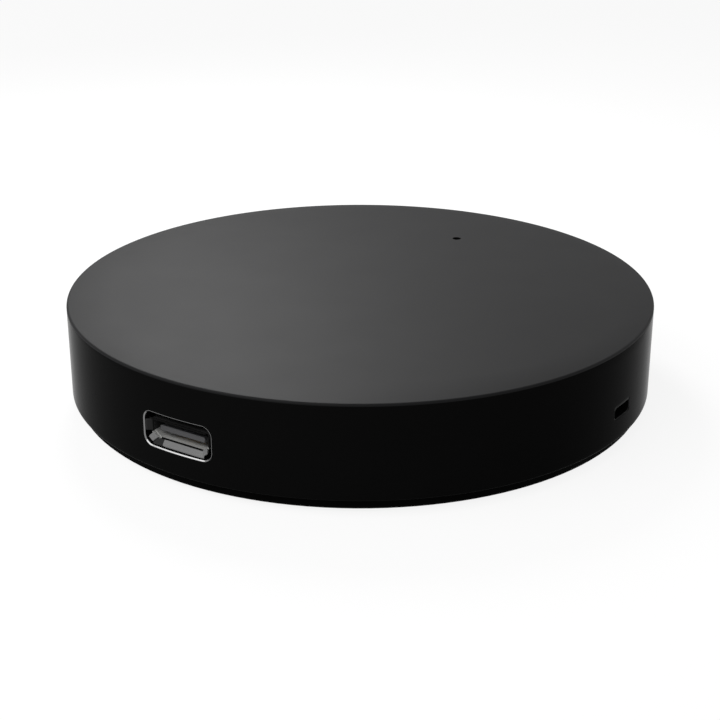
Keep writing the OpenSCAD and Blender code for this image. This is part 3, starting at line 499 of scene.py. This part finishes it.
# The right lip and the lip over the tongue get painted deep shade (kind 2); the floor lip's curled end and the
# left lip get painted half shade (kind 3).
lips = [lip(c[0] + slit_at, c[1] + wide, slit=FINE), lip(c[0] - wide, c[0] + slit_at, slit=FINE, kind=3),
        lip(c[1], c[2], slit=0.5), lip(c[2], c[3], kind=2), lip(c[3], c[4], kind=2, flare=0.24),
        lip(c[4], c[5], kind=3), lip(c[5], c[0], slit=0.5)]
print("lips:", len(lips))

# %% Feet and the whole shell
# Two feet of the same sheet stand on the board, where they are soldered.
FOOT_SHAPE = np.array([(3.74, 0.0), (4.55, 0.0), (4.55, SHEET), (3.95, SHEET), (3.74, 0.95)])
FOOT_BACK, FOOT_FRONT = 27.81, 28.81
feet = []
for side in (-1, 1):
    back, front = (along((FOOT_SHAPE * (side, 1))[::side], depth) for depth in (FOOT_BACK, FOOT_FRONT))
    feet.append(loft(pole(back), back, front, pole(front)))
solid("socket_shell_sheet", [sleeve] + lips + feet, [tin_with_painted_light, lip_tin_with_painted_shade, tin_with_painted_deep_shade, tin_with_painted_half_shade],
      "socket_shell", sharp=35)

# %% [markdown]
# ## The socket's tongue
# A moulded block closes the shell's back and carries the tongue that the plug slides over. The tongue's
# front edge is broken and its ends are round. It is one rounded outline carried forwards, which shrinks over
# the last part as a quarter circle does.

# %% Tongue and block
# Glass-filled moulding: dark grey and dry, with the grey of its fibres.
filled_polymer = finish("glass_filled_liquid_crystal_polymer", ("#444446", "#4c4c4e"), 0.55, 0.08, 0.003)


def nose(width, height, corner, low, back, front, round_r, steps=7):
    """A bar whose front edge is round: inset = r (1 - cos a), depth = front - r + r sin a, for a up to 90
    degrees. It stands low above the board."""
    loops = []
    for a in np.radians(np.linspace(0, 90, steps)):
        inset = min(round_r * (1 - math.cos(a)), height / 2 - 0.02)
        shape = rounded(width - 2 * inset, height - 2 * inset, max(corner - inset, 0.01), 40, 24, 5)
        loops.append(along(shape + [0, low + height / 2], front - round_r + round_r * math.sin(a)))
    first = along(rounded(width, height, corner, 40, 24, 5) + [0, low + height / 2], back)
    return loft(pole(first), first, *loops, pole(loops[-1]))


TONGUE_W, TONGUE_T, TONGUE_CORNER, TONGUE_RISE, TONGUE_EDGE, TONGUE_SETBACK = 5.8, 0.63, 0.26, 0.92, 0.1, 0.35
# The tongue starts ROOTED mm inside the block, so that no gap shows between them.
BLOCK_SETBACK, BLOCK_T, BLOCK_BEND, ROOTED = 0.15, 1.5, 0.12, 0.1
block = folded(shell_corners(SHEET + FIT), BLOCK_BEND)
block_front = SOCKET_BACK + BLOCK_SETBACK + BLOCK_T
block_loops = [along(block, SOCKET_BACK + BLOCK_SETBACK), along(block, block_front)]
solid("socket_tongue", [
    nose(TONGUE_W, TONGUE_T, TONGUE_CORNER, TONGUE_RISE, block_front - ROOTED, SOCKET_OUT - TONGUE_SETBACK,
         TONGUE_EDGE),
    loft(pole(block_loops[0]), *block_loops, pole(block_loops[1]))],
    [filled_polymer], "socket_insulator")

# %% [markdown]
# ## The foot pad
# A soft rubber disc is stuck into the base and hides its screws. It is a lathe shape: a profile of radius and
# height turned round the axis, with a rounded lower edge as moulded pads have.

# %% Foot pad
# Moulded silicone rubber: dull, very dark, and a little dusty at flat angles.
silicone_rubber = finish("moulded_silicone_rubber", ("#101010", "#151515"), 0.75, 0.2, 0.01)


def lathe(profile, count=360):
    """Points (r, z) turned round the puck's axis: one circle for each."""
    return loft(*[ring(r, z, count) for r, z in profile])


PAD_R, PAD_T = (float(v) / MM for v in (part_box("foot_pad")[1][0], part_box("foot_pad")[1][2]))
PAD_EDGE = 0.3
edge = [(PAD_R - PAD_EDGE + PAD_EDGE * math.cos(a), PAD_EDGE + PAD_EDGE * math.sin(a))
        for a in np.radians(np.linspace(-90, 0, 6))]
pad_profile = [(0, 0.0), (PAD_R * 0.5, 0.0), *edge, (PAD_R, PAD_T), (0, PAD_T)]
solid("foot_pad_moulding", [lathe(pad_profile)], [silicone_rubber], "foot_pad")

# %% [markdown]
# ## Finishes of the pieces inside
# The pieces inside keep their exact CAD meshes, because their shapes are right. Each gets the finish of its
# real material: solder mask, plated metal, moulded epoxy and so on.

# %% Circuit boards
COPPER_MM = 0.03


def board_finish(name, mask, over_copper, pitch_mm, track_mm):
    """Solder mask with copper tracks under it. A track runs where the nearest two points of a pattern of
    pitch_mm are almost equally far, to within track_mm. There the mask is lighter and stands higher."""
    made = bpy.data.materials.new(name)
    tree = emptied(made)
    place = add(tree, "Mapping", {"Vector": add(tree, "TexCoord").outputs["Object"], **OFF_GRID}).outputs[0]
    second, nearest = (
        add(tree, "TexVoronoi", {"Vector": place, "Scale": 1 / (pitch_mm * MM), "Randomness": 0.75},
            feature=feature, distance="MANHATTAN").outputs["Distance"] for feature in ("F2", "F1"))
    apart = add(tree, "Math", {0: second, 1: nearest}, operation="SUBTRACT").outputs[0]
    width = track_mm / pitch_mm
    track = add(tree, "MapRange", {"Value": apart, "From Min": width, "From Max": 1.3 * width,
                                   "To Min": 1.0, "To Max": 0.0}).outputs[0]
    tone = add(tree, "Mix", {"Factor": track, "A": linear(mask), "B": linear(over_copper)}, data_type="RGBA")
    raised = add(tree, "Bump", {"Height": track, "Distance": COPPER_MM * MM, "Strength": 1.0})
    shader = add(tree, "BsdfPrincipled", {"Roughness": 0.28, "Normal": raised.outputs[0]})
    tree.links.new(tone.outputs[2], shader.inputs["Base Color"])
    add(tree, "OutputMaterial", {"Surface": shader.outputs[0]})
    return made


# Glossy green lacquer over glass epoxy, with tracks 0.25 mm wide about 2.4 mm apart.
green_mask = board_finish("green_solder_mask_on_glass_epoxy", "#0f3a20", "#2a6b3f", 2.4, 0.25)
# The radio's board is blue, with finer tracks.
blue_mask = board_finish("blue_solder_mask_on_glass_epoxy", "#0d2640", "#23507c", 1.5, 0.16)
print("board finishes made")

# %% Finishes for the CAD pieces
# Moulded ABS: a dry, even black. ABS has an index of about 1.54, but the base's edge is nearly black in the
# photograph, so it is matched with a lower one.
black_abs = finish("moulded_black_abs", ("#040404", "#060606"), 0.6, 0.15, 0.004, IOR=1.06)
# Rolled stainless strip: a bright, slightly blurred mirror.
stainless_spring = finish("stainless_spring_sheet", ("#c9c9c7", "#d2d2d0"), 0.25, 0.3, 0.001, Metallic=1.0)
# Zinc plating on steel: a cool, bluish shine, softer than chrome.
zinc_steel = finish("zinc_plated_steel", ("#a9aab0", "#b6b7bc"), 0.32, 0.25, 0.002, Metallic=1.0)
# Gold plating on stamped strip: a warm yellow, blurred mirror.
gold_plate = finish("gold_plated_contacts", ("#d9b25a", "#cfa548"), 0.25, 0.2, 0.001, Metallic=1.0)
# Moulded nylon: near black, with a broad, weak highlight.
black_nylon = finish("moulded_black_nylon", ("#161617", "#1d1d1e"), 0.5, 0.12, 0.004)
# Tinned copper wire: a pale silver line of light along each lead.
tinned_wire = finish("tinned_copper_wire", ("#bdbdc0", "#c9c9cc"), 0.3, 0.15, 0.002, Metallic=1.0)
# Moulded acetal: dark and slippery, with a sharper highlight than nylon's.
stem_acetal = finish("moulded_acetal_stem", ("#1a1a1b", "#202021"), 0.42, 0.12, 0.002)
# Cast resin with a filler that spreads light: a creamy, glossy white.
led_resin = finish("milky_light_resin", ("#e6e1c8", "#efead6"), 0.3, 0.3, 0.001)
# Epoxy dyed to stop visible light: nearly black with a hint of violet, and as glossy as a lens.
smoky_epoxy = finish("smoky_infrared_epoxy", ("#16101f", "#1e1629"), 0.06, 0.8, 0.0005)
# Drawn nickel silver: a warm grey, with a blurred shine.
nickel_silver = finish("drawn_nickel_silver_can", ("#b9b9b6", "#c6c6c3"), 0.35, 0.25, 0.003, Metallic=1.0)
# Moulded chip epoxy: matt charcoal, from its fine filler.
mould_epoxy = finish("black_chip_epoxy", ("#141415", "#1b1b1c"), 0.6, 0.06, 0.003)
# Copper under a flash of gold: a reddish gold shine.
copper_track = finish("gold_flashed_copper_track", ("#b8863b", "#c39347"), 0.35, 0.2, 0.002, Metallic=1.0)
# Drawn aluminium: a bright, cool grey with a soft band of light.
aluminium_can = finish("sleeved_aluminium_can", ("#a8aaad", "#b6b8ba"), 0.28, 0.3, 0.002, Metallic=1.0)
# Fired ceramic: a dull brown, as unglazed pottery has.
ceramic = finish("barium_titanate_ceramic", ("#7d6a4c", "#8c7a5c"), 0.6, 0.1, 0.004)
# Glaze over a resistor's film: a small, glossy black face.
resistor_glaze = finish("glazed_chip_resistor", ("#1c1c1e", "#242426"), 0.25, 0.2, 0.002)
# Clear acrylic: a glassy rod that shows what is behind it.
pipe_acrylic = finish("clear_acrylic_pipe", ("#f2f6f8", "#f6f9fa"), 0.05, 1.0, 0.0002,
                      **{"Transmission Weight": 1.0})
print("finishes for the CAD pieces made")

# %% Dress the CAD pieces
dressed = {
    black_abs: ["base_plate"], zinc_steel: ["base_screws", "board_screws"], green_mask: ["circuit_board"],
    gold_plate: ["socket_contacts"], black_nylon: ["reset_housing"],
    stainless_spring: ["reset_frame", "reset_dome"],
    tinned_wire: ["reset_terminals", "emitter_leads", "receiver_leads", "regulator_leads", "driver_leads"],
    stem_acetal: ["reset_plunger"], led_resin: ["status_light"], pipe_acrylic: ["light_pipe"],
    smoky_epoxy: ["ir_emitters", "ir_receiver"], blue_mask: ["radio_board"],
    nickel_silver: ["radio_shield", "radio_crystal"], copper_track: ["radio_antenna"],
    mould_epoxy: ["radio_chip", "memory_chip", "regulator", "capacitor_base", "driver_transistors",
                  "surge_diode"],
    aluminium_can: ["smoothing_capacitor"], ceramic: ["chip_capacitors"], resistor_glaze: ["chip_resistors"]}
for coat, names in dressed.items():
    for name in names:
        for place in nodes[name].material_slots:
            place.material = coat
print("dressed:", sum(len(names) for names in dressed.values()), "CAD nodes in", len(dressed), "finishes")

# %% [markdown]
# ## Floor, light and camera
# The floor and the room are white to the camera and in reflections. To everything else they are a plain pale
# studio: a dim even room, one large soft box above the front, which lights the socket, and a smaller one behind
# on the left, which gives the top its sheen. The floor keeps a faint shadow. The camera stands where the
# photographer's stood: its distance, height and lens were worked out from the puck's two outlines.

# %% What counts as background
def white_seen(tree):
    """1 for rays that show the background (camera, glossy and transmission rays), else 0."""
    path = add(tree, "LightPath").outputs
    shown = add(tree, "Math", {0: path["Is Camera Ray"], 1: path["Is Glossy Ray"]}, operation="MAXIMUM")
    return add(tree, "Math", {0: shown.outputs[0], 1: path["Is Transmission Ray"]},
               operation="MAXIMUM").outputs[0]


print("white to camera, glossy and transmission rays")

# %% Floor
# The floor is a grid of tiles. A tile is drawn as two triangles, and the line between them would show from
# below, so the puck stands in the middle of one triangle: its inner circle, 0.293 of a tile in radius, holds
# the puck. It lies a little under the foot pad, because two faces in one place would flicker.
TILE, TILES, UNDER = 0.2, 15, -0.05 * MM
lines = TILE * np.arange(-TILES, TILES + 1)
inner = TILE * (1 - math.sqrt(0.5))
x, y = np.meshgrid(lines + inner, lines - inner)
floor_mesh = bpy.data.meshes.new("floor")
floor_mesh.from_pydata(np.stack([x, y, np.full(x.shape, UNDER)], axis=-1).reshape(-1, 3), [],
                       quads(len(lines), len(lines), False))
floor = bpy.data.objects.new("floor", floor_mesh)
bpy.context.scene.collection.objects.link(floor)
# White paper: pale to the light that lands on it, and near white to the camera, with the puck's faint shadow.
paper = bpy.data.materials.new("white_paper")
tree = emptied(paper)
pale = add(tree, "BsdfDiffuse", {"Color": linear("#d0d0d0")}).outputs[0]
faint = add(tree, "BsdfDiffuse", {"Color": linear("#6c6c6c")}).outputs[0]
glow = add(tree, "Emission", {"Color": (1, 1, 1, 1), "Strength": 0.88}).outputs[0]
white = add(tree, "AddShader", {0: faint, 1: glow}).outputs[0]
table = add(tree, "MixShader", {0: white_seen(tree), 1: pale, 2: white}).outputs[0]
# Seen from below, the floor is clear, so that the puck's underside can be looked at.
below = add(tree, "NewGeometry").outputs["Backfacing"]
clear = add(tree, "BsdfTransparent").outputs[0]
add(tree, "OutputMaterial", {"Surface": add(tree, "MixShader", {0: below, 1: table, 2: clear}).outputs[0]})
floor_mesh.materials.append(paper)
print("floor:", round(2 * TILE * TILES, 2), "m wide,", len(floor_mesh.polygons), "tiles")

# %% Room
ROOM = 0.22
world = bpy.data.worlds.new("white_room")
bpy.context.scene.world = world
tree = emptied(world)
level = add(tree, "MapRange", {"Value": white_seen(tree), "To Min": ROOM, "To Max": 1.0}).outputs[0]
room = add(tree, "Background", {"Color": (1, 1, 1, 1), "Strength": level}).outputs[0]
add(tree, "OutputWorld", {"Surface": room})
print("room level:", ROOM)

# %% Soft boxes
# The camera looks from this many degrees round from the socket's side, and down by PITCH.
VIEW_AZIMUTH, PITCH = 33.7, 22.28


def soft_box(name, azimuth, height, distance, width, tall, radiance):
    """Oval lamp at distance mm from the puck, azimuth degrees round from the camera's side and height degrees
    up, aimed at the puck's top. Its power is radiance * pi * area, as a lamp that glows evenly gives."""
    area = math.pi / 4 * width * tall
    lamp = bpy.data.lights.new(name, "AREA")
    lamp.shape, lamp.size, lamp.size_y = "ELLIPSE", width * MM, tall * MM
    lamp.energy = radiance * math.pi * area * MM ** 2
    box = bpy.data.objects.new(name, lamp)
    a, e = math.radians(VIEW_AZIMUTH - azimuth), math.radians(height)
    away = Vector((math.cos(e) * math.sin(a), -math.cos(e) * math.cos(a), math.sin(e)))
    box.location = (away * distance + Vector((0, 0, TOP_Z))) * MM
    box.rotation_euler = (-away).to_track_quat("-Z", "Y").to_euler()
    box.visible_camera = False
    bpy.context.scene.collection.objects.link(box)
    share = radiance * area / math.pi / distance ** 2 * math.sin(e)
    print(name, "adds about", round(share, 2), "to the room's level")


soft_box("soft_box_front", 50, 46, 600, 900, 340, 3.3)
soft_box("soft_box_back", 162, 44, 150, 50, 80, 16.5)

# %% Camera
# Its place over the puck's top, in cover radii, and its lens, for a sensor 36 mm wide. The photograph's middle
# is a quarter of a pixel off the lens's.
OUT, UP, LENS_MM, SHIFT_PIXELS = 5.015, 1.782, 76.96, -0.25
view, down = math.radians(VIEW_AZIMUTH), math.radians(PITCH)
eye = Vector((OUT * math.sin(view), -OUT * math.cos(view), UP)) * COVER_R + Vector((0, 0, TOP_Z))
look = Vector((-math.cos(down) * math.sin(view), math.cos(down) * math.cos(view), -math.sin(down)))
lens = bpy.data.cameras.new("camera")
lens.sensor_width, lens.lens, lens.shift_x = 36.0, LENS_MM, SHIFT_PIXELS / 720
lens.clip_start = 0.005
camera = bpy.data.objects.new("camera", lens)
camera.location = eye * MM
camera.rotation_euler = look.to_track_quat("-Z", "Y").to_euler()
bpy.context.scene.collection.objects.link(camera)
bpy.context.scene.camera = camera
bpy.context.scene.view_settings.view_transform = "Standard"
print("camera", round(eye.length), "mm away")
